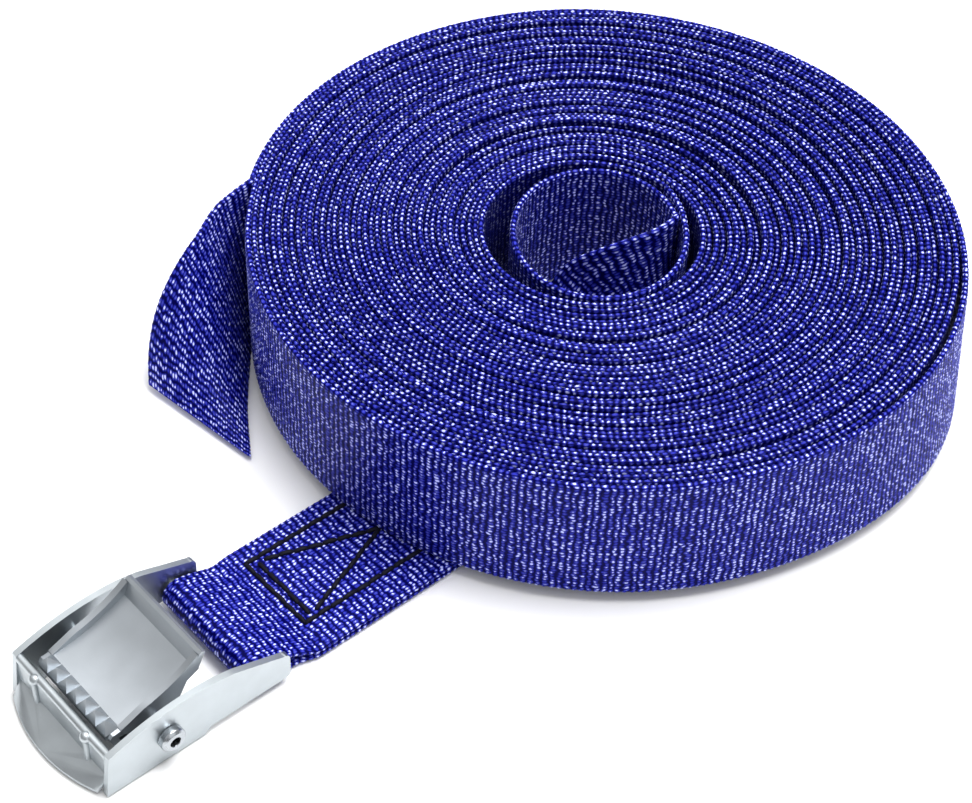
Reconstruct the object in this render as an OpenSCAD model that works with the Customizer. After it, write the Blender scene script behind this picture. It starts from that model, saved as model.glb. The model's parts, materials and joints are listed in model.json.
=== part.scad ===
// Cam-buckle lashing strap, wound into a loose flat coil beside its buckle.
// Origin: on the ground under the centre of the coil. +Z is up, the buckle lies towards -X.

/* [Webbing] */
// Width of the webbing
web_w = 24.5; // [24:0.1:25]
// Thickness of one layer of webbing
web_t = 1.0; // [0.9:0.05:1.05]
// Distance from one wound layer to the next
wind_pitch = 1.09; // [1.08:0.01:1.3]
// Full turns of tightly wound webbing, drawn as one ring with grooves between bunches
wind_turns = 39; // [10:1:42]
// Inner radius of the tightly wound turns
wind_r = 17.5; // [17:0.5:20]
// How far the coil's hole sits off its centre, towards the buckle
hole_shift = 3.2; // [0:0.2:4]
// Angle at which the free tail leaves the coil
tail_angle = 130; // [100:5:170]
// Height of the coil's underside, clear of the strap that runs beneath it
coil_z = 2.3; // [2.3:0.1:3]
// Width of the webbing where it is squeezed between the buckle's side walls
loop_w = 22.4; // [20:0.1:22.4]

/* [Layout] */
// Sideways place of the straight run from the coil's centre
run_y = -13.5; // [-16:0.5:-12]
// Front edge of the buckle
buckle_x = -121; // [-130:1:-115]
// Near end of the sewn overlap
flap_start_x = -83; // [-84:0.5:-82]
// Far end of the sewn overlap, beneath the coil
flap_end_x = -37; // [-38:1:-30]

/* [Buckle frame] */
// Clear width between the side walls
gap_w = 23.0; // [23:0.1:25]
// Sheet thickness of the frame and the lever
sheet_t = 1.1; // [1:0.1:1.2]
// Length of the side walls
frame_l = 33.5; // [33:0.5:34]
// Height of the side walls at the front
wall_front_h = 8.3; // [8.2:0.1:9]
// Height of the side walls at their highest
wall_peak_h = 10.9; // [10.5:0.1:11.5]
// Height of the side walls at the rear
wall_rear_h = 6.4; // [6:0.1:7]
// Step up in the rear half of the walls' underside
rear_step = 1.1; // [0.8:0.1:1.3]
// Radius of the curled cross bar that the webbing loop goes round
bar_r = 1.6; // [1.4:0.1:1.8]

/* [Cam lever] */
// Width of the lever
lever_w = 19; // [18:0.5:20]
// Number of teeth on the lever's nose
teeth = 7; // [6:1:7]
// Distance between neighbouring teeth
tooth_pitch = 2.5; // [2.2:0.05:2.6]

/* [Hinge pin] */
// Radius of the hollow rivet's shank
pin_r = 1.5; // [1.2:0.1:1.8]
// Radial play between the rivet and the lever
pin_play = 0.05; // [0.02:0.01:0.1]
// Distance from the buckle's front to the pin
pin_x = 11.3; // [11:0.1:12]
// Height of the pin
pin_z = 5.2; // [5:0.1:5.6]

/* [Hidden] */

web_blue = [0.13, 0.15, 0.55];
thread_black = [0.03, 0.03, 0.06];
zinc = [0.78, 0.82, 0.86];

curve_fn = 96;               // facets of the large true circles
small_fn = 48;               // facets of the small true circles
loop_play = 0.1;             // radial room between the bar and the webbing loop
loop_r = bar_r + loop_play;  // inner radius of the webbing loop
loop_out_r = loop_r + web_t;
bar_x = 29;                  // cross bar's distance from the buckle's front
bar_z = loop_out_r;          // the loop rests on the ground
wind_mid_r = wind_r + web_t / 2;
groove_every = 3;            // wound turns in one bunch
groove_w = 0.3;
groove_depth = 0.8;
outer_r = wind_r + wind_turns * wind_pitch;
seam = 0.02;                 // slit between neighbouring stretches of the one strap
overlap = 0.1;               // how far joined pieces of one part run into each other
past = 1;                    // how far a cut starts beyond the surface it cuts
run_end_x = -20;             // where the straight run turns up into the coil's middle
front_lean = 1;              // how far the frame's front leans back at its top

// ---------- curves and ribbons ----------

function arc_points(cx, cy, radius, from, to, steps) =
    [for (i = [0 : steps]) let (a = from + (to - from) * i / steps)
        [cx + radius * cos(a), cy + radius * sin(a)]];

// Catmull-Rom value at u between b and c
function smooth_value(a, b, c, d, u) =
    b + 0.5 * u * (c - a + u * (2 * a - 5 * b + 4 * c - d + u * (3 * (b - c) + d - a)));

// A list of stations, refined to `steps` per span
function smooth_list(s, steps) =
    [for (i = [0 : len(s) - 2], k = [0 : steps - 1])
        smooth_value(s[max(i - 1, 0)], s[i], s[i + 1], s[min(i + 2, len(s) - 1)], k / steps),
     s[len(s) - 1]];

// Corners of the webbing's section at a station [x, y, z, heading, lean]: the point is the
// middle of the lower edge, and lean 0 is upright and 90 flat, falling to the heading's right
function web_section(s) =
    let (side = [sin(s[3]), -cos(s[3]), 0],
         up = [0, 0, 1],
         across = sin(s[4]) * side + cos(s[4]) * up,
         through = (cos(s[4]) * side - sin(s[4]) * up) * web_t / 2,
         low = [s[0], s[1], s[2]],
         high = low + across * web_w)
    [low + through, high + through, high - through, low - through];

module ribbon(stations) {
    sections = [for (s = stations) web_section(s)];
    n = len(sections);
    polyhedron(
        points = [for (sec = sections) for (p = sec) p],
        faces = concat(
            [[0, 1, 2], [0, 2, 3]],
            [for (i = [0 : n - 2], k = [0 : 3]) let (a = 4 * i + k, b = 4 * i + (k + 1) % 4)
                [a, a + 4, b]],
            [for (i = [0 : n - 2], k = [0 : 3]) let (a = 4 * i + k, b = 4 * i + (k + 1) % 4)
                [b, a + 4, b + 4]],
            [[4 * n - 4, 4 * n - 2, 4 * n - 3], [4 * n - 4, 4 * n - 1, 4 * n - 2]]));
}

// ---------- the strap ----------

// The turns are wound round a hole that sits off the coil's centre, so their centres drift
function turn_radius(turn) = wind_r + turn * wind_pitch;
function turn_centre(turn) = -hole_shift * (1 - turn / wind_turns);

// Gap seen between two bunches of turns, on the coil's top and underside
module layer_groove(turn) {
    for (z = [coil_z - past, coil_z + web_w - groove_depth])
        translate([turn_centre(turn), 0, z])
            difference() {
                cylinder(r = turn_radius(turn), h = groove_depth + past, $fn = curve_fn);
                translate([0, 0, -past])
                    cylinder(r = turn_radius(turn) - groove_w, h = groove_depth + 3 * past,
                             $fn = curve_fn);
            }
}

// The tightly wound turns as one ring, with the last part turn lying on its outside
module webbing_coil() {
    color(web_blue) {
        difference() {
            translate([0, 0, coil_z]) cylinder(r = outer_r, h = web_w, $fn = curve_fn);
            translate([-hole_shift, 0, coil_z - past])
                cylinder(r = wind_r, h = web_w + 2 * past, $fn = curve_fn);
            for (turn = [groove_every : groove_every : wind_turns - 1]) layer_groove(turn);
        }
        translate([0, 0, coil_z])
            rotate_extrude(angle = tail_angle, $fn = curve_fn)
                translate([outer_r - web_t / 2, 0])
                    square([web_t * 1.5, web_w]);
    }
}

// Middle of the loose innermost turn, at an angle that counts inwards from the wound turns.
// The turn is an oval set a little off the hole's centre, and stands off the coil on two sides
function loose_point(angle) =
    let (lead = 30, base = 16, oval = 0.95, oval_dir = 133, shrink = 1.2, shift = [0.95, -0.88],
         entry = max(0, 1 - angle / lead),
         r = base + oval * cos(2 * (oval_dir - angle)) * (1 - entry) - shrink * angle / 360
             + (wind_mid_r - base) * entry * entry)
    [r * cos(angle) - hole_shift, -r * sin(angle)] + shift * (1 - entry * entry);

module webbing_core() {
    last = 384;
    step = 8;
    slit = 0.3;
    oval = [for (a = [slit, for (k = [step : step : last]) k])
        let (p = loose_point(a)) [p[0], p[1], coil_z, -a - 90, 0]];
    // The same strip then leans inwards and lies down to become the straight run
    turn = -360;
    lay_down = [
        oval[len(oval) - 1],
        [8.2, -9.4, 2.2, turn - 130, 12],
        [5.6, -12.0, 2.0, turn - 144, 32],
        [2.0, -14.2, 1.7, turn - 158, 52],
        [-4.5, -18.0, 1.1, turn - 170, 73],
        [-11.5, -22.8, 0.65, turn - 177, 86],
        [run_end_x, run_y - web_w / 2, web_t / 2, turn - 180, 90]];
    span_steps = 5;
    color(web_blue)
        ribbon(concat([for (i = [0 : len(oval) - 2]) oval[i]],
                      smooth_list(lay_down, span_steps)));
}

module flat_web(x_from, x_to, z) {
    translate([x_from, run_y - web_w / 2, z]) cube([x_to - x_from, web_w, web_t]);
}

module webbing_run() {
    color(web_blue) flat_web(flap_start_x + seam, run_end_x - seam, 0);
}

module webbing_flap() {
    color(web_blue) flat_web(flap_start_x + seam, flap_end_x, web_t);
}

// Side view of the loop: round the cross bar, then the upper layer comes down to be sewn
module loop_outline() {
    x = buckle_x + bar_x;
    wedge_x = flap_start_x - 1;  // near end of the gap between the two layers
    slit = 0.05;
    difference() {
        union() {
            translate([x, bar_z]) circle(loop_out_r, $fn = curve_fn);
            polygon([[x, 0], [flap_start_x, 0], [flap_start_x, 2 * web_t],
                     [x, bar_z + loop_out_r]]);
        }
        translate([x, bar_z]) circle(loop_r, $fn = curve_fn);
        polygon([[x, web_t], [wedge_x, web_t + slit], [x, bar_z + loop_r]]);
    }
}

// Top view of the loop: squeezed between the side walls, then widening to the full width
module loop_plan() {
    taper = 3;
    wide_x = flap_start_x - overlap;
    narrow_x = flap_start_x - taper;
    front_x = buckle_x + bar_x - 2 * loop_out_r;
    half = loop_w / 2;
    polygon([[front_x, -half], [narrow_x, -half], [wide_x, -web_w / 2], [flap_start_x, -web_w / 2],
             [flap_start_x, web_w / 2], [wide_x, web_w / 2], [narrow_x, half], [front_x, half]]);
}

module webbing_loop() {
    color(web_blue)
        translate([0, run_y, 0])
            intersection() {
                translate([0, web_w / 2, 0])
                    rotate([90, 0, 0]) linear_extrude(web_w) loop_outline();
                translate([0, 0, -past]) linear_extrude(3 * loop_out_r) loop_plan();
            }
}

module webbing_tail() {
    start = [outer_r + web_t / 2, tail_angle];
    slit = 0.03;
    flat_z = web_t / 2;
    heading = tail_angle + 90;
    stations = [
        [start[0] * cos(start[1] + slit), start[0] * sin(start[1] + slit), coil_z, heading, 0],
        [-44.6, 40.6, 1.9, heading - 10, 13],
        [-51.3, 32.8, 1.3, heading - 20, 25],
        [-58.0, 24.4, 0.8, heading - 30, 47],
        [-64.8, 14.5, flat_z, heading - 32, 89]];
    span_steps = 6;
    color(web_blue) ribbon(smooth_list(stations, span_steps));
}

// ---------- stitching ----------

thread_w = 0.6;
thread_h = 0.2;
box_near_x = -80.2;
box_far_x = -39.5;
box_w = 15.4;
box_y = 1.0;                 // sideways place of the sewn box on the strap

// A straight row of stitches on top of the sewn overlap
module stitch_row(x1, y1, x2, y2) {
    length = norm([x2 - x1, y2 - y1]);
    translate([x1, run_y + box_y + y1, 2 * web_t])
        rotate([0, 0, atan2(y2 - y1, x2 - x1)])
            translate([-thread_w / 2, -thread_w / 2, 0])
                cube([length + thread_w, thread_w, thread_h]);
}

module stitch_box() {
    side = box_w / 2;
    color(thread_black) {
        stitch_row(box_near_x, -side, box_near_x, side);
        stitch_row(box_far_x, -side, box_far_x, side);
        for (y = [-side, side]) stitch_row(box_near_x, y, box_far_x, y);
    }
}

module stitch_cross() {
    inset = 3;
    side = box_w / 2 - 1.2;
    color(thread_black)
        for (s = [-1, 1])
            stitch_row(box_near_x + inset, s * side, box_far_x - 1.2, -s * side);
}

// The second row across the near end
module stitch_end_row() {
    offset_x = 1.7;
    side = box_w / 2 - 1.2;
    color(thread_black)
        stitch_row(box_near_x + offset_x, -side, box_near_x + offset_x, side);
}

// ---------- the buckle ----------

module at_buckle() {
    translate([buckle_x, run_y, 0]) children();
}

// A flat shape in the buckle's side view, extruded sideways from y_from to y_to
module side_plate(y_from, y_to) {
    translate([0, y_to, 0])
        rotate([90, 0, 0])
            linear_extrude(y_to - y_from) children();
}

module wall_outline() {
    corner = 1.2;
    peak_x = 15.5;
    fall_x = 23.5;
    fall_drop = 1.1;
    step_x = 17.5;
    steps = 6;
    full = 90;
    polygon(concat(
        [[0, 0], [step_x, 0], [step_x + rear_step, rear_step]],
        arc_points(frame_l - corner, rear_step + corner, corner, -full, 0, steps),
        arc_points(frame_l - corner, wall_rear_h - corner, corner, 0, full, steps),
        [for (i = [steps : -1 : 1]) let (u = i / steps)
            [peak_x + (fall_x - peak_x) * u, wall_peak_h - fall_drop * u * u]],
        [for (i = [0 : steps]) let (u = i / steps)
            [peak_x - (peak_x - front_lean) * u, wall_peak_h - (wall_peak_h - wall_front_h) * u * u]]));
}

// Upright plate with a rolled top edge, and an apron that slopes out to a bowed edge
module front_plate() {
    lip_r = 0.75;
    lip_z = wall_front_h - lip_r;
    crease_z = 2.8;
    reach = 4.2;
    bow = 2.4;
    edge_z = 0.2;
    apron_w = gap_w - 0.6;
    rib_place = 0.29;            // share of the clear width from the middle to each rib
    rib_y = gap_w * rib_place;
    rib_r = 0.65;
    nub_r = 0.95;
    half = gap_w / 2;
    bow_r = (apron_w * apron_w / 4 + bow * bow) / (2 * bow);
    translate([front_lean, -half - overlap, crease_z])
        cube([sheet_t, gap_w + 2 * overlap, lip_z - crease_z]);
    translate([front_lean + sheet_t / 2, half + overlap, lip_z])
        rotate([90, 0, 0]) cylinder(r = lip_r, h = gap_w + 2 * overlap, $fn = small_fn);
    hull() {
        translate([front_lean, -half - overlap, crease_z - overlap])
            cube([sheet_t, gap_w + 2 * overlap, 2 * overlap]);
        translate([front_lean - reach, 0, edge_z])
            intersection() {
                translate([bow_r, 0, 0]) cylinder(r = bow_r, h = sheet_t / 2, $fn = 2 * curve_fn);
                translate([-past, -apron_w / 2, 0]) cube([bow + past, apron_w, sheet_t]);
            }
    }
    for (s = [-1, 1]) translate([front_lean, s * rib_y, 0]) {
        translate([0, 0, crease_z - rib_r])
            cylinder(r = rib_r, h = lip_z - crease_z + rib_r, $fn = small_fn / 2);
        translate([0, 0, lip_z]) sphere(r = nub_r, $fn = small_fn / 2);
    }
}

module buckle_frame() {
    half = gap_w / 2;
    floor_x = 6.7;
    floor_l = 3.8;
    color(zinc) at_buckle() {
        difference() {
            for (s = [-1, 1])
                side_plate(min(s * half, s * (half + sheet_t)), max(s * half, s * (half + sheet_t)))
                    wall_outline();
            translate([pin_x, half + 2 * sheet_t, pin_z])
                rotate([90, 0, 0]) cylinder(r = pin_r, h = gap_w + 4 * sheet_t, $fn = small_fn);
        }
        front_plate();
        translate([floor_x, -half - overlap, 0]) cube([floor_l, gap_w + 2 * overlap, sheet_t]);
        translate([bar_x, half + overlap, bar_z])
            rotate([90, 0, 0]) cylinder(r = bar_r, h = gap_w + 2 * overlap, $fn = small_fn);
    }
}

// ---------- the lever ----------

nose = [4.4, 8.0];       // front end of the lever's plate
far = [19.3, 12.4];      // finger end of the lever's plate
sag = 0.9;               // how far the plate is dished between them
rim_h = 1.3;             // height of the lever's side rims above its plate
lip_h = 2.1;             // height of the turned-up edge at the finger end

// A point on the plate's top surface, u from 0 at the nose to 1 at the finger end
function plate_top(u) =
    [nose[0] + (far[0] - nose[0]) * u,
     nose[1] + (far[1] - nose[1]) * u - sag * sin(180 * u)];

module plate_outline(steps = 12) {
    polygon(concat(
        [for (i = [0 : steps]) plate_top(i / steps)],
        [for (i = [steps : -1 : 0]) plate_top(i / steps) - [0, sheet_t]]));
}

module ear_outline() {
    eye_r = 2.9;
    steps = 10;
    u_from = 0.06;
    foot_from = 0.1;             // where the ear meets the plate, from the nose
    foot_to = 0.85;
    rise = 3;                    // how soon the rim reaches its height
    flick = 6;                   // how sharply it turns up at the finger end
    translate([pin_x, pin_z]) circle(eye_r, $fn = small_fn);
    polygon([[pin_x - eye_r, pin_z], [pin_x + eye_r, pin_z],
             plate_top(foot_to) - [0, sheet_t], plate_top(foot_from) - [0, sheet_t]]);
    polygon(concat(
        [for (i = [0 : steps]) let (u = u_from + (1 - u_from) * i / steps)
            plate_top(u) + [0, rim_h * min(1, rise * u) + (lip_h - rim_h) * pow(u, flick)]],
        [for (i = [steps : -1 : 0]) let (u = u_from + (1 - u_from) * i / steps)
            plate_top(u) - [0, sheet_t]]));
}

module cam_lever() {
    half = lever_w / 2;
    nose_x = 3.4;
    nose_drop = 2.4;
    corner = 0.5;
    lip_lean = 1.4;
    lip_drop = 0.3;
    color(zinc) at_buckle() {
        difference() {
            for (s = [-1, 1])
                side_plate(min(s * half, s * (half - sheet_t)), max(s * half, s * (half - sheet_t)))
                    ear_outline();
            translate([pin_x, lever_w, pin_z])
                rotate([90, 0, 0])
                    cylinder(r = pin_r + pin_play, h = 2 * lever_w, $fn = small_fn);
        }
        side_plate(-half + overlap, half - overlap) plate_outline();
        side_plate(-half + overlap, half - overlap)
            polygon([far - [sheet_t, sheet_t], far - [0, sheet_t], far + [lip_lean, lip_h - lip_drop],
                     far + [lip_lean - sheet_t / 2, lip_h], far + [lip_lean - sheet_t, lip_h - lip_drop]]);
        side_plate(-half + overlap, half - overlap)
            polygon([nose + [corner, 0], nose + [corner, -nose_drop],
                     [nose_x + corner, nose[1] - nose_drop],
                     [nose_x, nose[1] - corner], [nose_x + corner, nose[1]]]);
        cam_teeth();
    }
}

// Pointed teeth in a row along the nose: a notched bar cut to a ridge, which leaves pyramids
module cam_teeth() {
    base = 0.9;
    height = 1.7;
    depth = 2.6;
    root_x = nose[0] - 1.4;
    crest = 0.4;                 // share of the depth at which the teeth are highest
    row = teeth * tooth_pitch;
    intersection() {
        translate([root_x + depth, 0, nose[1] - base])
            rotate([90, 0, -90])
                linear_extrude(depth)
                    polygon(concat(
                        [[row / 2, 0], [row / 2, base]],
                        [for (i = [0 : teeth - 1]) let (y = row / 2 - (i + 0.5) * tooth_pitch)
                            each [[y, base + height], [y - tooth_pitch / 2, base]]],
                        [[-row / 2, 0]]));
        side_plate(-row / 2, row / 2)
            polygon([[root_x, nose[1] - base], [root_x, nose[1]], [root_x + depth * crest, nose[1] + height],
                     [root_x + depth, nose[1]], [root_x + depth, nose[1] - base]]);
    }
}

module rivet_pin() {
    bore_r = 0.9;
    head_r = 2.1;
    head_l = 1.7;
    clear = 0.02;
    edge = 0.5;                  // rounding of the heads' rims
    half = gap_w / 2 + sheet_t;
    color(zinc) at_buckle()
        translate([pin_x, 0, pin_z])
            rotate([90, 0, 0])
                rotate_extrude($fn = small_fn)
                    polygon([[bore_r, -half - head_l], [head_r - edge, -half - head_l],
                             [head_r, -half - head_l + edge], [head_r, -half - clear],
                             [pin_r, -half - clear], [pin_r, half + clear],
                             [head_r, half + clear], [head_r, half + head_l - edge],
                             [head_r - edge, half + head_l], [bore_r, half + head_l]]);
}

// ---------- the spring ----------

spring_r = 2.25;
wire_r = 0.32;
spring_turns = 7;
spring_pitch = 0.85;

// Centre line of the torsion spring: a leg to the floor strip, the coils, a leg to the lever
function spring_line() =
    let (steps = 16, first = 200, legs_apart = 140, last = first - 360 * spring_turns - legs_apart,
         total = spring_turns * steps,
         y0 = -spring_turns * spring_pitch / 2, leg_gap = 0.05)
    concat(
        [[-3.9, y0, sheet_t + wire_r + leg_gap - pin_z], [-2.9, y0, -2.6]],
        [for (i = [0 : total]) let (a = first + (last - first) * i / total)
            [spring_r * cos(a), y0 + spring_pitch * spring_turns * i / total, spring_r * sin(a)]],
        [[3.2, -y0, 3.2], [4.4, -y0, 4.0]]);

module tube_along(line, radius, sides) {
    n = len(line);
    rings = [for (i = [0 : n - 1])
        let (ahead = line[min(i + 1, n - 1)] - line[max(i - 1, 0)],
             d = ahead / norm(ahead),
             u = cross(d, [0, 1, 0.001]),
             e1 = u / norm(u),
             e2 = cross(d, e1))
        [for (k = [0 : sides - 1]) let (a = 360 * k / sides)
            line[i] + radius * (cos(a) * e1 + sin(a) * e2)]];
    polyhedron(
        points = [for (ring = rings) for (p = ring) p],
        faces = concat(
            [[for (k = [sides - 1 : -1 : 0]) k]],
            [for (i = [0 : n - 2], k = [0 : sides - 1])
                let (a = i * sides + k, b = i * sides + (k + 1) % sides)
                [a, b, b + sides, a + sides]],
            [[for (k = [0 : sides - 1]) (n - 1) * sides + k]]));
}

module lever_spring() {
    sides = 8;
    color(zinc) at_buckle()
        translate([pin_x, 0, pin_z])
            tube_along(spring_line(), wire_r, sides);
}

webbing_coil();
webbing_core();
webbing_run();
webbing_flap();
webbing_loop();
webbing_tail();
stitch_box();
stitch_cross();
stitch_end_row();
buckle_frame();
cam_lever();
rivet_pin();
lever_spring();
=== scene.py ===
import json
import math

import bpy
import numpy as np
from mathutils import Matrix, Vector


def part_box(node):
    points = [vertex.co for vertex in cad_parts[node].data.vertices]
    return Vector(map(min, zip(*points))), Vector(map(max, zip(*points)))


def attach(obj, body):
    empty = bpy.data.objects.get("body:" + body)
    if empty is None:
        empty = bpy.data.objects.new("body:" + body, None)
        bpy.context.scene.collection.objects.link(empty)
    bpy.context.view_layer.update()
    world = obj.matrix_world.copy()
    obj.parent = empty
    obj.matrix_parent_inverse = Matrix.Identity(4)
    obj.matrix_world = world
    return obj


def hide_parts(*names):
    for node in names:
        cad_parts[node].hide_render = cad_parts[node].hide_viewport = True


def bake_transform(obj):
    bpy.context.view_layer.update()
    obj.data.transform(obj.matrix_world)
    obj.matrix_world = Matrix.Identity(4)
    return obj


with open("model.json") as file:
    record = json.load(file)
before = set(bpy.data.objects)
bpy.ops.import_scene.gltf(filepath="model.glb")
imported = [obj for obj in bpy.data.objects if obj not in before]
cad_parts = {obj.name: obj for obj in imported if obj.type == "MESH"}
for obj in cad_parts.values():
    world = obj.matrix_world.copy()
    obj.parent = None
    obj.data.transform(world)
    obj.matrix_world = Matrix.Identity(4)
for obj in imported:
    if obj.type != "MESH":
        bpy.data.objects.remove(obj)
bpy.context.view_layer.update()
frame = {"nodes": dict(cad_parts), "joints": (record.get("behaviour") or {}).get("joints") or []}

MM = 0.001

# ---------------------------------------------------------------- sizes, in millimetres


def box_mm(node):
    """Lowest and highest corners of a CAD node, in millimetres."""
    low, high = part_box(node)
    return np.array(low) / MM, np.array(high) / MM


COIL_LOW, COIL_HIGH = box_mm("webbing_coil")
RUN_LOW, RUN_HIGH = box_mm("webbing_run")
FLAP_LOW, FLAP_HIGH = box_mm("webbing_flap")
LOOP_HIGH = box_mm("webbing_loop")[1]
JOINT = {j["name"]: np.array(j["pos_m"]) / MM for j in frame["joints"]}

WEB_W = COIL_HIGH[2] - COIL_LOW[2]
WEB_T = RUN_HIGH[2] - RUN_LOW[2]
COIL_Z = COIL_LOW[2]
RUN_Y = (RUN_LOW[1] + RUN_HIGH[1]) / 2
PITCH = 1.09                       # winding pitch of the CAD coil
TAIL_ANGLE = 130.0                 # where the free tail leaves the coil, degrees
TURNS = 39                         # full wound turns
INNER_R = 17.5                     # inner radius of the wound turns
HOLE_SHIFT = 3.2                   # how far the hole sits off the coil's centre, towards -X
OUTER_MID_R = INNER_R + WEB_T / 2 + TURNS * PITCH

WEFT = 1.15                        # distance between cross ribs of the weave
YARNS = 40                         # warp yarns across the webbing
YARN = WEB_W / YARNS
CROWN = 0.14                       # height of a warp yarn's crown
CROWN_POWER = 1.4                  # how narrow the crowns are along the yarn
SKEW = 0.12                        # how far each yarn's crowns sit on from its neighbour's
RIB_DRIFT = 0.10                   # how far the cross ribs drift along the strap

# ---------------------------------------------------------------- smooth seeded noise


def smooth_noise(x, period, seed):
    """Smooth noise in about -1..1 along x, summed from seeded waves."""
    octaves, waves, fade = 2, 3, 1.6
    r = np.random.default_rng(seed)
    total = np.zeros_like(x)
    for octave in range(octaves):
        for _ in range(waves):
            f = (2.0 ** octave) / period * r.uniform(0.7, 1.4)
            total += np.sin(2 * np.pi * (f * x + r.uniform())) / (waves * fade ** octave)
    return total


# ---------------------------------------------------------------- webbing ribbons


def weave_height(s, v):
    """Height of the plain weave's surface at s along and v across the strap."""
    peak, rounding, sink = 1.15, 3.2, 0.35
    j = np.floor(v / YARN)
    x = v / YARN - j - 0.5
    wave = (0.5 + 0.5 * np.cos(2 * np.pi * (s / WEFT + SKEW * (j % 2)))) ** CROWN_POWER
    return CROWN * (peak * wave * (1 - rounding * x * x) - sink)


def with_girth(rows):
    """Adds to each profile point (v across, n through, weight) its distance round the section."""
    rows = np.array(rows)
    step = np.linalg.norm(np.diff(rows[:, :2], axis=0), axis=1)
    return np.column_stack([rows, np.concatenate([[0], np.cumsum(step)])])


def section_profile(step_v, fine_back):
    """Points round the webbing's section, front face first. A hidden back is coarse and plain."""
    edge_steps, edge_weight, coarse = 7, 0.8, 8
    r = WEB_T / 2
    half = WEB_W / 2 - r
    front = np.arange(-half, half + 1e-6, step_v)
    back = np.arange(half, -half - 1e-6, -(step_v if fine_back else step_v * coarse))
    rows = [(v, r, 1.0) for v in front]
    for i in range(1, edge_steps):
        a = np.pi / 2 - np.pi * i / edge_steps
        rows.append((half + r * np.cos(a), r * np.sin(a), edge_weight))
    rows += [(v, -r, 1.0 if fine_back else 0.0) for v in back]
    for i in range(1, edge_steps):
        a = -np.pi / 2 - np.pi * i / edge_steps
        rows.append((-half + r * np.cos(a), r * np.sin(a), edge_weight))
    return with_girth(rows)


def ribbon(name, centre, across, through, s, profile, width=None, gap=None):
    """A webbing mesh along a path, from one row of centre, across and through per station, in mm.

    width narrows the strip at each station, and the last argument paints shade into the colour of
    the points that lie between turns.
    """
    n, m = len(s), len(profile)
    v, depth, weight, girth = profile.T
    full_girth = girth[-1] + np.linalg.norm(profile[0, :2] - profile[-1, :2])
    s = s + RIB_DRIFT * smooth_noise(s, 9.0, 17)
    s2, g2 = np.meshgrid(s, girth, indexing="ij")
    lift = weave_height(s2, g2) * weight
    # outward direction of the section at each profile point
    edge_v = np.clip(np.abs(v) - (WEB_W / 2 - WEB_T / 2), 0, None) * np.sign(v) / (WEB_T / 2)
    edge_n = np.where(np.abs(edge_v) > 1e-6, depth / (WEB_T / 2), np.sign(depth))
    out_v = edge_v[None, :, None] * across[:, None, :]
    out_n = edge_n[None, :, None] * through[:, None, :]
    share = np.ones(n) if width is None else width / WEB_W
    base = (centre[:, None, :] + (share[:, None] * v)[:, :, None] * across[:, None, :]
            + depth[None, :, None] * through[:, None, :])
    points = base + (out_v + out_n) * lift[:, :, None]
    i = np.arange(n - 1)[:, None] * m
    k = np.arange(m)[None, :]
    k2 = (k + 1) % m
    quads = np.stack([i + k, i + k2, i + m + k2, i + m + k], axis=-1).reshape(-1, 4)
    caps = [list(range(m)), [(n - 1) * m + q for q in range(m - 1, -1, -1)]]
    obj = mesh_from(name, points.reshape(-1, 3), quads, caps, WEB)
    # UVs hold millimetres: along the strap, and round its section
    g_next = np.append(girth[1:], full_girth)
    uv = np.zeros((n - 1, m, 4, 2))
    uv[:, :, 0:2, 0], uv[:, :, 2:4, 0] = s[:-1, None, None], s[1:, None, None]
    uv[:, :, 0, 1] = uv[:, :, 3, 1] = girth
    uv[:, :, 1, 1] = uv[:, :, 2, 1] = g_next
    flat = np.zeros((len(obj.data.loops), 2), np.float32)
    flat[:uv.size // 2] = uv.reshape(-1, 2)
    obj.data.uv_layers.new(name="weave").data.foreach_set("uv", flat.ravel())
    # painted shade: a point attribute that darkens the colour between turns
    if gap is not None:
        shade = obj.data.attributes.new("gap", "FLOAT", "POINT")
        shade.data.foreach_set("value", gap.astype(np.float32).ravel())
    return obj


def mesh_from(name, verts_mm, quads, extra_faces, mat):
    """A smooth-shaded mesh object from arrays of quads, plus a short list of other faces."""
    mesh = bpy.data.meshes.new(name)
    nq = len(quads)
    total = nq * 4 + sum(len(f) for f in extra_faces)
    starts = list(range(0, nq * 4, 4))
    index = quads.reshape(-1).tolist()
    at = nq * 4
    for f in extra_faces:
        starts.append(at)
        index += f
        at += len(f)
    mesh.vertices.add(len(verts_mm))
    mesh.vertices.foreach_set("co", (np.asarray(verts_mm) * MM).astype(np.float32).ravel())
    mesh.loops.add(total)
    mesh.loops.foreach_set("vertex_index", np.array(index, np.int32))
    mesh.polygons.add(len(starts))
    mesh.polygons.foreach_set("loop_start", np.array(starts, np.int32))
    mesh.update(calc_edges=True)
    mesh.validate()
    mesh.polygons.foreach_set("use_smooth", np.ones(len(mesh.polygons), bool))
    obj = bpy.data.objects.new(name, mesh)
    bpy.context.scene.collection.objects.link(obj)
    mesh.materials.append(mat)
    return obj


# ---------------------------------------------------------------- materials


def new_material(name):
    """A node material with its nodes and links."""
    mat = bpy.data.materials.new(name)
    mat.use_nodes = True
    return mat, mat.node_tree.nodes, mat.node_tree.links


def math_node(nodes, links, op, a, b=None, clamp=False):
    """The output of a maths node whose inputs are numbers or other outputs."""
    n = nodes.new("ShaderNodeMath")
    n.operation = op
    n.use_clamp = clamp
    for i, x in enumerate((a, b)):
        if x is None:
            continue
        if isinstance(x, (int, float)):
            n.inputs[i].default_value = x
        else:
            links.new(x, n.inputs[i])
    return n.outputs[0]


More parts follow.
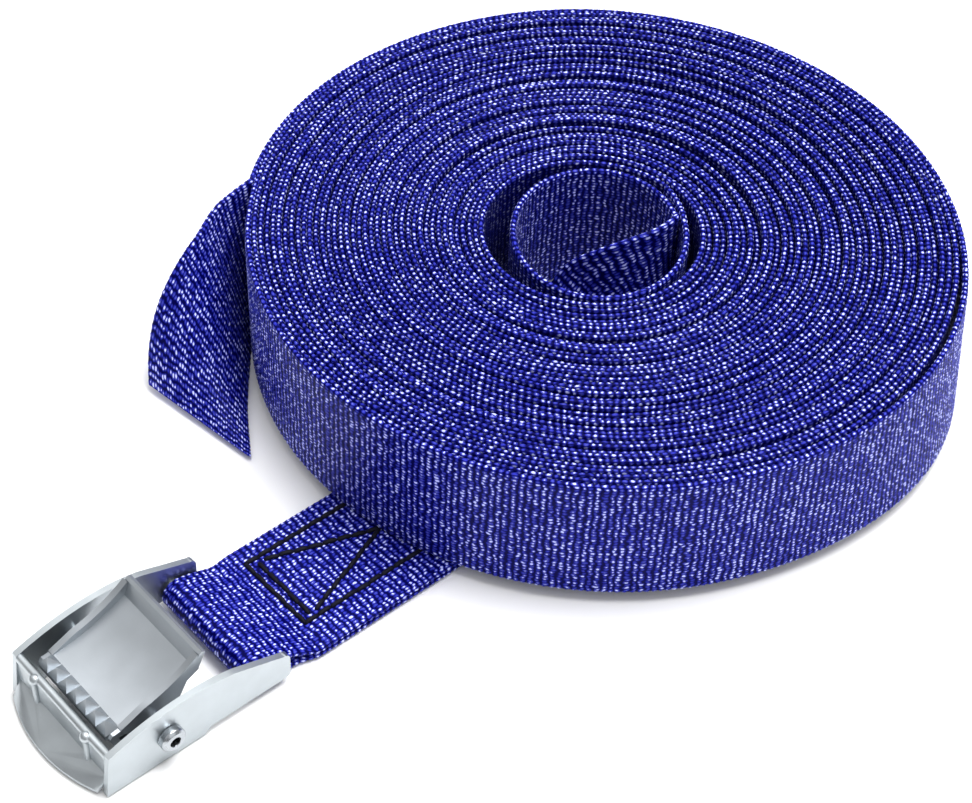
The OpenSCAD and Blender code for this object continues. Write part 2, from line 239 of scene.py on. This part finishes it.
def webbing_material(name, valley_shade, mid, crown_highlight):
    """Woven polyester: colour by place in the weave, read from UVs that hold millimetres, with
    painted shade in the valleys and painted highlights on the crowns.
    """
    mat, nodes, links = new_material(name)
    bsdf = nodes["Principled BSDF"]
    uv = nodes.new("ShaderNodeUVMap")
    uv.uv_map = "weave"
    split = nodes.new("ShaderNodeSeparateXYZ")
    links.new(uv.outputs[0], split.inputs[0])
    m = lambda op, a, b=None, clamp=False: math_node(nodes, links, op, a, b, clamp)
    # the yarns wander a little, so the rows of crowns are never quite straight
    wander = nodes.new("ShaderNodeTexNoise")
    wander.inputs["Scale"].default_value = 0.55
    wander.inputs["Detail"].default_value = 2.0
    links.new(uv.outputs[0], wander.inputs["Vector"])
    wander_parts = nodes.new("ShaderNodeSeparateColor")
    links.new(wander.outputs["Color"], wander_parts.inputs[0])
    along_share, across_share = 1.3, 0.5
    s = m("ADD", split.outputs[0],
          m("MULTIPLY", m("SUBTRACT", wander_parts.outputs[0], 0.5), along_share))
    v = m("ADD", split.outputs[1],
          m("MULTIPLY", m("SUBTRACT", wander_parts.outputs[1], 0.5), across_share))
    yarn = m("DIVIDE", v, YARN)
    j = m("FLOOR", yarn)
    x = m("SUBTRACT", m("SUBTRACT", yarn, j), 0.5)
    shifted = m("ADD", m("DIVIDE", s, WEFT), m("MULTIPLY", m("PINGPONG", j, 1.0), SKEW))
    phase = m("MULTIPLY", shifted, 2 * math.pi)
    wave = m("POWER", m("ADD", m("MULTIPLY", m("COSINE", phase), 0.5), 0.5), CROWN_POWER)
    rounding = 4.2
    bulge = m("SUBTRACT", 1.0, m("MULTIPLY", m("MULTIPLY", x, x), rounding))
    height = m("MULTIPLY", wave, bulge, True)
    # fine filaments along each yarn, and a variation from crown to crown
    filament_share, crown_share = 1.1, 1.2
    noise = nodes.new("ShaderNodeTexNoise")
    noise.inputs["Scale"].default_value = 1.0
    noise.inputs["Detail"].default_value = 3.0
    mapping = nodes.new("ShaderNodeMapping")
    mapping.inputs["Scale"].default_value = (1.1, 7.0, 1.0)
    links.new(uv.outputs[0], mapping.inputs[0])
    links.new(mapping.outputs[0], noise.inputs["Vector"])
    cell = nodes.new("ShaderNodeTexWhiteNoise")
    cell.noise_dimensions = "2D"
    cells = nodes.new("ShaderNodeCombineXYZ")
    links.new(m("FLOOR", m("ADD", shifted, 0.5)), cells.inputs[0])
    links.new(j, cells.inputs[1])
    links.new(cells.outputs[0], cell.inputs["Vector"])
    vary = m("ADD", m("MULTIPLY", m("SUBTRACT", noise.outputs[0], 0.5), filament_share),
             m("MULTIPLY", m("SUBTRACT", cell.outputs[0], 0.5), crown_share))
    painted_light_mask = m("ADD", height, m("MULTIPLY", vary, height), True)
    # painted shade and painted highlight: the ramp runs from a near-black navy in the weave's
    # valleys to a near-white blue on its crowns
    ramp = nodes.new("ShaderNodeValToRGB")
    links.new(painted_light_mask, ramp.inputs[0])
    stops = ramp.color_ramp.elements
    stops[0].position, stops[0].color = 0.03, (*valley_shade, 1)
    stops[1].position, stops[1].color = 1.0, (*crown_highlight, 1)
    high_mid = tuple(0.90 * a + 0.10 * b for a, b in zip(mid, crown_highlight))
    for place, shade in ((0.26, mid), (0.72, high_mid)):
        ramp.color_ramp.elements.new(place).color = (*shade, 1)
    # painted shade: the colour darkens to a near-black navy in the creases between the wound turns
    # and on the sunken turns
    gap = nodes.new("ShaderNodeAttribute")
    gap.attribute_name = "gap"
    crease_shade_mix = nodes.new("ShaderNodeMix")
    crease_shade_mix.data_type = "RGBA"
    links.new(gap.outputs["Fac"], crease_shade_mix.inputs[0])
    links.new(ramp.outputs[0], crease_shade_mix.inputs[6])
    crease_shade_mix.inputs[7].default_value = (0.0, 0.0, 0.035, 1)
    links.new(crease_shade_mix.outputs[2], bsdf.inputs["Base Color"])
    bsdf.inputs["Roughness"].default_value = 0.38
    bsdf.inputs["Specular IOR Level"].default_value = 0.04
    bump = nodes.new("ShaderNodeBump")
    bump.inputs["Strength"].default_value = 0.55
    bump.inputs["Distance"].default_value = 0.00012
    links.new(m("ADD", height, m("MULTIPLY", noise.outputs[0], 0.35)), bump.inputs["Height"])
    links.new(bump.outputs[0], bsdf.inputs["Normal"])
    return mat


def zinc_material(name, base, rough_low, rough_high, scale, clouding=0.5):
    """Bright zinc plate: metal with soft clouding, fine rolling lines and uneven gloss."""
    mat, nodes, links = new_material(name)
    bsdf = nodes["Principled BSDF"]
    bsdf.inputs["Metallic"].default_value = 1.0
    coord = nodes.new("ShaderNodeTexCoord")
    cloud = nodes.new("ShaderNodeTexNoise")
    cloud.inputs["Scale"].default_value = scale
    cloud.inputs["Detail"].default_value = 4.0
    links.new(coord.outputs["Object"], cloud.inputs["Vector"])
    lines_map = nodes.new("ShaderNodeMapping")
    lines_map.inputs["Scale"].default_value = (1.0, 9.0, 1.0)
    links.new(coord.outputs["Object"], lines_map.inputs[0])
    lines = nodes.new("ShaderNodeTexNoise")
    lines.inputs["Scale"].default_value = 900.0
    lines.inputs["Detail"].default_value = 2.0
    links.new(lines_map.outputs[0], lines.inputs["Vector"])
    ramp = nodes.new("ShaderNodeValToRGB")
    links.new(cloud.outputs[0], ramp.inputs[0])
    deepest = 0.22
    dark = tuple(c * (1 - deepest * clouding) for c in base)
    ramp.color_ramp.elements[0].position = 0.35
    ramp.color_ramp.elements[0].color = (*dark, 1)
    ramp.color_ramp.elements[1].position = 0.68
    ramp.color_ramp.elements[1].color = (*base, 1)
    links.new(ramp.outputs[0], bsdf.inputs["Base Color"])
    rough = nodes.new("ShaderNodeMapRange")
    rough.inputs["To Min"].default_value = rough_low
    rough.inputs["To Max"].default_value = rough_high
    links.new(cloud.outputs[0], rough.inputs["Value"])
    links.new(rough.outputs[0], bsdf.inputs["Roughness"])
    bump = nodes.new("ShaderNodeBump")
    bump.inputs["Strength"].default_value = 0.12
    bump.inputs["Distance"].default_value = 0.00005
    links.new(lines.outputs[0], bump.inputs["Height"])
    links.new(bump.outputs[0], bsdf.inputs["Normal"])
    return mat


def thread_material():
    """Black polyester thread with a fine uneven grain."""
    mat, nodes, links = new_material("thread_black")
    bsdf = nodes["Principled BSDF"]
    coord = nodes.new("ShaderNodeTexCoord")
    noise = nodes.new("ShaderNodeTexNoise")
    noise.inputs["Scale"].default_value = 3500
    links.new(coord.outputs["Object"], noise.inputs["Vector"])
    ramp = nodes.new("ShaderNodeValToRGB")
    ramp.color_ramp.elements[0].color = (0.001, 0.001, 0.004, 1)
    ramp.color_ramp.elements[1].color = (0.006, 0.006, 0.016, 1)
    links.new(noise.outputs[0], ramp.inputs[0])
    links.new(ramp.outputs[0], bsdf.inputs["Base Color"])
    bsdf.inputs["Roughness"].default_value = 0.6
    bsdf.inputs["Specular IOR Level"].default_value = 0.12
    bump = nodes.new("ShaderNodeBump")
    bump.inputs["Strength"].default_value = 0.5
    bump.inputs["Distance"].default_value = 0.0001
    links.new(noise.outputs[0], bump.inputs["Height"])
    links.new(bump.outputs[0], bsdf.inputs["Normal"])
    return mat


# the near-black valley colour is painted shade, and the near-white crown colour is a painted
# highlight
WEB = webbing_material("webbing_blue", (0.0001, 0.0002, 0.055), (0.016, 0.022, 0.37),
                       (0.56, 0.60, 1.0))
ZINC = zinc_material("zinc_plate", (0.50, 0.54, 0.565), 0.32, 0.44, 260, 0.35)
LEVER = zinc_material("zinc_lever", (0.41, 0.44, 0.47), 0.38, 0.50, 200, 0.35)
RIVET = zinc_material("zinc_rivet", (0.46, 0.49, 0.52), 0.18, 0.34, 500)
SPRING = zinc_material("spring_wire", (0.35, 0.36, 0.38), 0.25, 0.4, 600)
THREAD = thread_material()

# ---------------------------------------------------------------- the wound coil


BUNCH_SQUEEZE = 0.048                     # how much closer the turns of one bunch lie
BUNCH_DIP = 0.85                          # how far a sunken turn lies below its neighbours
TURN_DRIFT = 0.20                         # how far a turn's edge waves up and down
RADIUS_DRIFT = 0.05                       # how far a turn waves in and out


def bunches(count):
    """How far each wound turn shifts outwards, and how far the last turn of each bunch sinks."""
    r = np.random.default_rng(7)
    shift, sunk, k = np.zeros(count + 3), np.zeros(count + 3), 0
    while k < count + 2:
        size = int(r.choice([2, 2, 3]))
        for i in range(size):
            shift[min(k + i, count + 2)] = -BUNCH_SQUEEZE * (i - (size - 1) / 2)
        k += size
        sunk[min(k - 1, count + 2)] = r.uniform(0.5, 1.0)
    sunk[count - 1:] = 0
    return shift, sunk


GROUP, SUNK = bunches(TURNS)
TURN_Z = np.random.default_rng(11).normal(0, 0.26, TURNS + 3)  # each turn's height off the mean
SPLAY_ANGLE, SPLAY_SPREAD = -66.0, 30.0   # where the outermost turn stands off, degrees
SPLAY_OUT, SPLAY_TILT = 2.0, 0.11         # how far it stands off and leans there
SPLAY_TURNS, SPLAY_LEAD = 0.9, 0.15       # how much of it may, and over how much that starts


def coil_path(turn_from, turn_to, step):
    """Stations along the wound spiral between two turn counts, about step mm apart.

    Returns centre, across and through rows, the length along, and how far each is sunk, 0 to 1.
    """
    turns, t = [], turn_from
    while t < turn_to:
        turns.append(t)
        t += step / (2 * np.pi * (INNER_R + PITCH * t))
    turns.append(turn_to)
    turns = np.array(turns)
    k = np.clip(np.floor(turns).astype(int), 0, TURNS)
    f = turns - k
    ease = f * f * (3 - 2 * f)
    shift = GROUP[k] * (1 - ease) + GROUP[k + 1] * ease
    lift = TURN_Z[k] * (1 - ease) + TURN_Z[k + 1] * ease
    uneven = 0.75 + 0.25 * smooth_noise(turns, 0.37, 29)
    sunk = (SUNK[k] * (1 - ease) + SUNK[k + 1] * ease) * uneven
    lift = lift + TURN_DRIFT * smooth_noise(turns, 0.45, 3) - BUNCH_DIP * sunk
    radius = INNER_R + WEB_T / 2 + PITCH * turns + shift
    radius += RADIUS_DRIFT * smooth_noise(turns, 0.3, 5)
    angle = 2 * np.pi * turns
    drift = -HOLE_SHIFT * np.clip(1 - turns / TURNS, 0, 1)
    centre = np.stack([radius * np.cos(angle) + drift, radius * np.sin(angle),
                       COIL_Z + WEB_W / 2 + lift], -1)
    # the outermost turn stands off the rest on one side, most at its lower edge
    off = (np.degrees(angle) - SPLAY_ANGLE + 180) % 360 - 180
    start = np.clip(turns - (TURNS - SPLAY_TURNS), 0, SPLAY_LEAD) / SPLAY_LEAD
    splay = np.exp(-(off / SPLAY_SPREAD) ** 2) * start
    out = np.stack([np.cos(angle), np.sin(angle), 0 * angle], -1)
    centre += out * (SPLAY_OUT * splay)[:, None]
    across = np.array([0.0, 0.0, 1.0]) - out * (SPLAY_TILT * splay)[:, None]
    across /= np.linalg.norm(across, axis=1)[:, None]
    through = out + np.array([0.0, 0.0, 1.0]) * (SPLAY_TILT * splay)[:, None]
    through /= np.linalg.norm(through, axis=1)[:, None]
    s = np.concatenate([[0], np.cumsum(np.linalg.norm(np.diff(centre[:, :2], axis=0), axis=1))])
    return centre, across, through, s, np.clip(sunk, 0, 1)


def coil_s0(turn):
    """Arc length along the spiral at a turn count, so that weaves meet where pieces meet."""
    return 2 * np.pi * ((INNER_R + WEB_T / 2) * turn + PITCH * turn * turn / 2)


def edge_profile():
    """A coarse section for the buried turns: fine round edges and plain hidden faces."""
    r, half = WEB_T / 2 * 0.9, WEB_W / 2 - WEB_T / 2
    near = [0.0, 0.35, 1.1]
    rows = [(-half + d, r, 1.0) for d in near] + [(half - d, r, 1.0) for d in near[::-1]]
    for a in np.radians([68, 45, 22, 0, -22, -45, -68]):
        rows.append((half + r * np.cos(a), r * np.sin(a), 0.9))
    rows += [(half - d, -r, 1.0) for d in near] + [(-half + d, -r, 1.0) for d in near[::-1]]
    for a in np.radians([-60, 0, 60]):
        rows.append((-half - r * np.cos(a), r * np.sin(a), 0.9))
    return with_girth(rows)


def build_coil():
    """The wound turns in bands, and the outermost turn as two finer halves."""
    pieces = []
    last = TURNS + TAIL_ANGLE / 360
    bands = [0, 11, 19, 26, 32, last - 1.0]
    for i, (a, b) in enumerate(zip(bands, bands[1:])):
        c, w, th, s, sunk = coil_path(a, b, 0.4)
        profile = edge_profile()
        # painted shade: the faces near each turn's shoulders, and the sunken turns, are darkened
        # in colour, standing in for the shadow in the creases between turns
        shoulder_shade = np.clip(np.abs(profile[:, 1]) / (WEB_T * 0.45), 0, 1) ** 3
        gap = np.clip(0.62 * shoulder_shade[None, :] + 0.42 * sunk[:, None], 0, 0.9)
        pieces.append(ribbon(f"coil_turns_{i + 1}", c, w, th, s + coil_s0(a), profile, gap=gap))
    fine = section_profile(YARN / 2, False)
    for i, (a, b) in enumerate([(last - 1.0, last - 0.5), (last - 0.5, last)]):
        c, w, th, s, _ = coil_path(a, b, 0.3)
        pieces.append(ribbon(f"coil_outer_{i + 1}", c, w, th, s + coil_s0(a), fine))
    for p in pieces:
        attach(p, "strap")
    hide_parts("webbing_coil")


# ---------------------------------------------------------------- free-form stretches


def catmull(points, per_span):
    """Smooth rows through the given rows."""
    p = np.asarray(points, float)
    out = []
    for i in range(len(p) - 1):
        a, b, c, d = p[max(i - 1, 0)], p[i], p[i + 1], p[min(i + 2, len(p) - 1)]
        for u in np.arange(per_span) / per_span:
            bend = 2 * a - 5 * b + 4 * c - d + u * (3 * (b - c) + d - a)
            out.append(b + 0.5 * u * (c - a + u * bend))
    return np.array(out + [p[-1]])


def resample(rows, columns, step):
    """Rows at equal steps of length along their middle line, held in the given columns."""
    d = np.concatenate([[0], np.cumsum(np.linalg.norm(np.diff(rows[:, columns], axis=0), axis=1))])
    s = np.arange(0, d[-1], step)
    s = np.append(s, d[-1])
    return np.stack([np.interp(s, d, rows[:, i]) for i in range(rows.shape[1])], -1), s


def strip_between(low, high, step):
    """Middle, across and through rows and the length along, for a strip between two edges."""
    rows = np.hstack([low, high, (low + high) / 2])
    rows, s = resample(rows, [6, 7, 8], step)
    low, high, mid = rows[:, :3], rows[:, 3:6], rows[:, 6:]
    across = high - low
    across /= np.linalg.norm(across, axis=1)[:, None]
    through = np.cross(np.gradient(mid, axis=0), across)
    through /= np.linalg.norm(through, axis=1)[:, None]
    return mid, across, through, s


def leaning(stations):
    """Lower and upper edge points from stations (x, y, z, heading, lean), as the CAD has them."""
    st = np.asarray(stations, float)
    h, lean = np.radians(st[:, 3]), np.radians(st[:, 4])
    side = np.stack([np.sin(h), -np.cos(h), 0 * h], -1)
    up = np.array([0.0, 0.0, 1.0])
    across = np.sin(lean)[:, None] * side + np.cos(lean)[:, None] * up
    return st[:, :3], st[:, :3] + across * WEB_W


def loose_point(angle):
    """Middle of the loose innermost turn, angle in degrees going inwards, as the CAD has it."""
    lead, base, oval, oval_dir, shrink, shift = 30, 16, 0.95, 133, 1.2, (0.95, -0.88)
    entry = np.clip(1 - angle / lead, 0, None)
    r = (base + oval * np.cos(np.radians(2 * (oval_dir - angle))) * (1 - entry)
         - shrink * angle / 360 + (INNER_R + WEB_T / 2 - base) * entry ** 2)
    moved = 1 - entry ** 2
    return (r * np.cos(np.radians(angle)) - HOLE_SHIFT + shift[0] * moved,
            -r * np.sin(np.radians(angle)) + shift[1] * moved)


def build_core():
    """The loose innermost turn, which then leans inwards and lies down to become the run."""
    a = np.append(np.arange(0.3, 382, 4.0), 384)
    x, y = loose_point(a)
    oval = np.stack([x, y, COIL_Z + 0 * a, -a - 90, 0 * a], -1)
    turn = -360
    lay = [[8.2, -9.4, 2.2, turn - 130, 12], [5.6, -12.0, 2.0, turn - 144, 32],
           [2.0, -14.2, 1.7, turn - 158, 52], [-4.5, -18.0, 1.1, turn - 170, 73],
           [-11.5, -22.8, 0.65, turn - 177, 86],
           [-20, RUN_Y - WEB_W / 2, WEB_T / 2, turn - 180, 90]]
    low, high = leaning(catmull(np.vstack([oval, lay]), 4))
    mid, across, through, s = strip_between(low, high, 0.3)
    cut = len(s) // 2
    fine = section_profile(YARN / 2, True)
    head, rest = slice(0, cut + 1), slice(cut, None)
    first = ribbon("core_loose_turn", mid[head], across[head], through[head], s[head], fine)
    second = ribbon("core_lay_down", mid[rest], across[rest], through[rest], s[rest], fine)
    for p in (first, second):
        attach(p, "strap")
    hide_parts("webbing_core")


def build_tail():
    """The free end, which leaves the coil upright and twists down flat on the ground."""
    heading = TAIL_ANGLE + 90
    a = math.radians(TAIL_ANGLE)
    r = OUTER_MID_R
    stations = [[r * math.cos(a), r * math.sin(a), COIL_Z, heading, 0],
                [-44.6, 40.6, 1.9, heading - 10, 13],
                [-51.3, 32.8, 1.3, heading - 20, 25],
                [-58.0, 24.4, 0.8, heading - 30, 47],
                [-64.8, 14.5, WEB_T / 2, heading - 32, 89]]
    edges = catmull(np.hstack(leaning(catmull(stations, 8))), 2)
    mid, across, through, s = strip_between(edges[:, :3], edges[:, 3:], 0.3)
    tail = ribbon("tail_end", mid, across, through, s, section_profile(YARN / 2, True))
    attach(tail, "strap")
    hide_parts("webbing_tail")


# ---------------------------------------------------------------- run, loop and sewn overlap

BAR = JOINT["buckle_swing"]
LOOP_MID_R = BAR[2] - WEB_T / 2
LOOP_W = 22.2                      # width between the side walls, just inside the CAD loop's
WIDENS_FROM, WIDENS_TO = LOOP_HIGH[0] - 3.0, LOOP_HIGH[0] + 2.0


def squeezed_width(x):
    """Width of the webbing at x: narrow between the walls, full beyond them."""
    u = np.clip((x - WIDENS_FROM) / (WIDENS_TO - WIDENS_FROM), 0, 1)
    return LOOP_W + (WEB_W - LOOP_W) * u * u * (3 - 2 * u)


def side_path(points, per_span, step):
    """A webbing path in the run's side view from (x, z) points."""
    rows, s = resample(catmull(points, per_span), [0, 1], step)
    n = len(s)
    centre = np.stack([rows[:, 0], np.full(n, RUN_Y), rows[:, 1]], -1)
    along = np.gradient(centre, axis=0)
    along /= np.linalg.norm(along, axis=1)[:, None]
    across = np.tile([0.0, 1.0, 0.0], (n, 1))
    through = np.cross(along, across)
    return centre, across, through, s


def build_run():
    """The straight run, the loop round the cross bar and the sewn-back overlap, one strip."""
    sew_margin, layer_gap = 1.5, 0.05
    x_loop = BAR[0]
    x_sew = FLAP_LOW[0] + sew_margin
    bottom = WEB_T / 2
    top = WEB_T * 1.5 + layer_gap
    arc = [(x_loop + LOOP_MID_R * math.cos(t), BAR[2] + LOOP_MID_R * math.sin(t))
           for t in np.radians(np.arange(-90, -271, -15))]
    under = [(x, bottom) for x in np.arange(RUN_HIGH[0] + 0.2, x_loop + 2, -4.0)]
    drop = BAR[2] + LOOP_MID_R - top
    over = [(x_loop + (x_sew - x_loop) * u, top + drop * (1 - u * u * (3 - 2 * u) * 0.5 - 0.5 * u))
            for u in np.linspace(0.12, 1, 8)]
    flat = [(x, top) for x in np.arange(x_sew + 3, FLAP_HIGH[0] + 0.1, 4.0)]
    c, w, th, s = side_path(under + arc + over + flat, 6, 0.3)
    fine = section_profile(YARN / 2, False)
    # the path runs towards the buckle under the coil, then back on top, so split it at the bar
    turn = int(np.argmin(c[:, 0]))
    plain = section_profile(YARN, False)
    wide = squeezed_width(c[:, 0])
    near, far = slice(0, turn + 1), slice(turn, None)
    lower = ribbon("run_under", c[near], w[near], th[near], s[near], plain, width=wide[near])
    upper = ribbon("run_over", c[far], w[far], th[far], s[far], fine, width=wide[far])
    for p in (lower, upper):
        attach(p, "strap")
    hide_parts("webbing_run", "webbing_loop")
    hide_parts("webbing_flap")


# ---------------------------------------------------------------- stitching

THREAD_R = 0.40
STITCH = 2.5                       # length of one stitch
STITCH_GAP = 0.03                  # bare share of a stitch's length at each end
STITCH_PROUD = 0.10                # how far a stitch's middle stands above the webbing
STITCH_DIVE = 0.42                 # how far its ends go down from there
THREAD_INSET = 0.3                 # the CAD thread's box reaches this far past its middle line


def tube(points, radius, sides=8, ref=(0.0, 0.0, 1.0)):
    """Vertices, quads and end caps of a tube along points, which never run along ref."""
    p = np.asarray(points, float)
    along = np.gradient(p, axis=0)
    along /= np.linalg.norm(along, axis=1)[:, None]
    e1 = np.cross(along, ref)
    e1 /= np.linalg.norm(e1, axis=1)[:, None]
    e2 = np.cross(along, e1)
    a = np.linspace(0, 2 * np.pi, sides, endpoint=False)
    ring = (p[:, None, :] + radius * (np.cos(a)[None, :, None] * e1[:, None, :]
                                      + np.sin(a)[None, :, None] * e2[:, None, :]))
    n = len(p)
    i = np.arange(n - 1)[:, None] * sides
    k = np.arange(sides)[None, :]
    k2 = (k + 1) % sides
    quads = np.stack([i + k, i + sides + k, i + sides + k2, i + k2], -1).reshape(-1, 4)
    caps = [list(range(sides)), [(n - 1) * sides + q for q in range(sides - 1, -1, -1)]]
    return ring.reshape(-1, 3), quads, caps


def stitches(name, lines, top_z, seed):
    """Rows of separate sunken stitches along straight lines in the plane of the overlap."""
    r = np.random.default_rng(seed)
    verts, quads, caps, base = [], [], [], 0
    for (x1, y1), (x2, y2) in lines:
        length = math.hypot(x2 - x1, y2 - y1)
        count = max(1, round(length / STITCH))
        direction = np.array([(x2 - x1) / length, (y2 - y1) / length])
        normal = np.array([-direction[1], direction[0]])
        for i in range(count):
            a, b = length * (i + STITCH_GAP) / count, length * (i + 1 - STITCH_GAP) / count
            t = np.linspace(0, 1, 9)
            wobble = r.normal(0, 0.06, 2)
            xy = (np.array([x1, y1]) + np.outer(a + (b - a) * t, direction)
                  + np.outer(wobble[0] + (wobble[1] - wobble[0]) * t, normal))
            z = top_z + STITCH_PROUD - STITCH_DIVE * np.abs(2 * t - 1) ** 4
            v, q, c = tube(np.column_stack([xy, z]), THREAD_R)
            verts.append(v)
            quads.append(q + base)
            caps += [[x + base for x in f] for f in c]
            base += len(v)
    return mesh_from(name, np.vstack(verts), np.vstack(quads), caps, THREAD)


def thread_lines_box(node):
    """The middle lines' range x1, x2, y1, y2 in a CAD node of stitching."""
    low, high = box_mm(node)
    return (low[0] + THREAD_INSET, high[0] - THREAD_INSET, low[1] + THREAD_INSET,
            high[1] - THREAD_INSET)


def build_stitching():
    """The sewn box, its cross and the second row at the near end, as separate stitches."""
    x1, x2, y1, y2 = thread_lines_box("stitch_box")
    cx1, cx2, cy1, cy2 = thread_lines_box("stitch_cross")
    row_low, row_high = box_mm("stitch_end_row")
    xr = (row_low[0] + row_high[0]) / 2
    z = 2 * WEB_T + 0.1
    box = [((x1, y1), (x1, y2)), ((x2, y1), (x2, y2)), ((x1, y1), (x2, y1)), ((x1, y2), (x2, y2))]
    cross = [((cx1, cy1), (cx2, cy2)), ((cx1, cy2), (cx2, cy1))]
    pieces = [("stitch_box_thread", box, "stitch_box"),
              ("stitch_cross_thread", cross, "stitch_cross"),
              ("stitch_row_thread", [((xr, cy1), (xr, cy2))], "stitch_end_row")]
    for i, (name, lines, node) in enumerate(pieces):
        obj = stitches(name, lines, z, 40 + i)
        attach(obj, "strap")
        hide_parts(node)


# ---------------------------------------------------------------- the buckle


def finish_metal(node, mat, bevel):
    """Gives a CAD node its metal, smooth shading and bevelled edges, and leaves its mesh alone."""
    obj = frame["nodes"][node]
    obj.data.materials.clear()
    obj.data.materials.append(mat)
    for p in obj.data.polygons:
        p.use_smooth = True
    weld = obj.modifiers.new("weld", "WELD")
    weld.merge_threshold = 0.00001
    edge = obj.modifiers.new("bevel", "BEVEL")
    edge.width = bevel * MM
    edge.segments = 3
    edge.limit_method = "ANGLE"
    edge.angle_limit = math.radians(35)
    flat = obj.modifiers.new("flat_faces", "WEIGHTED_NORMAL")
    flat.weight = 100


def build_spring():
    """The torsion spring's wire round the lever's pin, with a leg at each end, as one fixed mesh.
    """
    pin = JOINT["lever_press"]
    coil_r, turns, pitch, first, legs_apart = 2.25, 7, 0.85, 200.0, 140.0
    wire_r, leg_margin, steps = 0.32, 0.4, 225
    side = turns * pitch / 2
    u = np.linspace(0, 1, steps)
    a = np.radians(first - (360 * turns + legs_apart) * u)
    coil = np.column_stack([coil_r * np.cos(a), side * (2 * u - 1), coil_r * np.sin(a)])
    line = np.vstack([[-3.9, -side, -3.73], [-2.9, -side, -2.6], coil,
                      [3.2, side, 3.2], [4.4, side, 4.0]])
    verts, quads, caps = tube(line + pin, wire_r, 12, (0.0, 1.0, 0.0))
    wire = mesh_from("spring_wire", verts, quads, caps, SPRING)
    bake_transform(wire)
    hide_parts("lever_spring")


def build_buckle():
    """The metal of the buckle's CAD nodes, apart from the spring."""
    finish_metal("buckle_frame", ZINC, 0.25)
    finish_metal("cam_lever", LEVER, 0.15)
    finish_metal("rivet_pin", RIVET, 0.15)


# ---------------------------------------------------------------- floor, light and camera

VIEW_TURN = math.radians(43)         # the straight run's turn from the camera's sideways axis
ELEVATION = math.radians(45.6)
DISTANCE = 361.0
ROLL = math.radians(2.7)
LOOK_AT = np.array([-33.9, -9.2, 12.5])
LENS = 81.5


def build_stage():
    """The floor, the studio's surroundings and the colour management."""
    mat, nodes, links = new_material("studio_floor")
    bsdf = nodes["Principled BSDF"]
    bsdf.inputs["Base Color"].default_value = (0.93, 0.93, 0.93, 1)
    bsdf.inputs["Roughness"].default_value = 0.9
    size, drop = 3.0, 0.0003
    mesh = bpy.data.meshes.new("floor")
    mesh.from_pydata([(-size, -size, 0), (size, -size, 0), (size, size, 0), (-size, size, 0)], [],
                     [(0, 1, 2, 3)])
    mesh.materials.append(mat)
    floor = bpy.data.objects.new("floor", mesh)
    floor.location.z = -drop
    bpy.context.scene.collection.objects.link(floor)
    world = bpy.data.worlds.new("studio")
    bpy.context.scene.world = world
    world.use_nodes = True
    nodes, links = world.node_tree.nodes, world.node_tree.links
    coord = nodes.new("ShaderNodeTexCoord")
    split = nodes.new("ShaderNodeSeparateXYZ")
    ramp = nodes.new("ShaderNodeValToRGB")
    links.new(coord.outputs["Generated"], split.inputs[0])
    links.new(split.outputs[2], ramp.inputs[0])
    ramp.color_ramp.elements[0].position = 0.0
    ramp.color_ramp.elements[0].color = (0.20, 0.205, 0.22, 1)
    ramp.color_ramp.elements[1].position = 0.9
    ramp.color_ramp.elements[1].color = (1, 1, 1, 1)
    links.new(ramp.outputs[0], nodes["Background"].inputs[0])
    nodes["Background"].inputs[1].default_value = 0.8
    # a plain pale backdrop where the camera sees past the floor
    backdrop = nodes.new("ShaderNodeBackground")
    backdrop.inputs[0].default_value = (0.93, 0.93, 0.93, 1)
    path = nodes.new("ShaderNodeLightPath")
    either = nodes.new("ShaderNodeMixShader")
    links.new(path.outputs["Is Camera Ray"], either.inputs[0])
    links.new(nodes["Background"].outputs[0], either.inputs[1])
    links.new(backdrop.outputs[0], either.inputs[2])
    links.new(either.outputs[0], nodes["World Output"].inputs[0])
    bpy.context.scene.view_settings.view_transform = "Standard"


def view_frame():
    """The camera's forward, right and up directions."""
    flat = Vector((math.sin(VIEW_TURN), math.cos(VIEW_TURN), 0))
    side = Vector((math.cos(VIEW_TURN), -math.sin(VIEW_TURN), 0))
    forward = flat * math.cos(ELEVATION) - Vector((0, 0, math.sin(ELEVATION)))
    up = side.cross(forward)
    right = side * math.cos(ROLL) + up * math.sin(ROLL)
    return forward, right, up * math.cos(ROLL) - side * math.sin(ROLL)


def area_light(name, direction, distance, size, power):
    """A square soft light that shines on the object from a direction."""
    data = bpy.data.lights.new(name, "AREA")
    data.size = size
    data.energy = power
    obj = bpy.data.objects.new(name, data)
    d = Vector(direction).normalized()
    obj.location = Vector(LOOK_AT * MM) + d * distance
    obj.rotation_euler = d.to_track_quat("Z", "Y").to_euler()
    bpy.context.scene.collection.objects.link(obj)


def build_camera_and_lights():
    """The camera at the photograph's view, and three soft lights round the object."""
    forward, right, up = view_frame()
    cam = bpy.data.cameras.new("camera")
    cam.lens = LENS
    cam.clip_start = 0.01
    obj = bpy.data.objects.new("camera", cam)
    location = Vector(LOOK_AT * MM) - forward * DISTANCE * MM
    rotation = Matrix((right, up, -forward)).transposed().to_4x4()
    obj.matrix_world = Matrix.Translation(location) @ rotation
    bpy.context.scene.collection.objects.link(obj)
    bpy.context.scene.camera = obj
    side = Vector((math.cos(VIEW_TURN), -math.sin(VIEW_TURN), 0))
    back = Vector((math.sin(VIEW_TURN), math.cos(VIEW_TURN), 0))
    top = Vector((0, 0, 1))
    area_light("key", 0.3 * side + 0.1 * back + 1.2 * top, 0.8, 0.5, 8.4)
    area_light("fill", 0.8 * side - 0.9 * back + 0.7 * top, 0.9, 0.7, 1.0)
    area_light("rim", -0.3 * side + 0.8 * back + 0.9 * top, 0.9, 1.3, 3)


build_coil()
build_core()
build_tail()
build_run()
build_stitching()
build_buckle()
build_spring()
build_stage()
build_camera_and_lights()
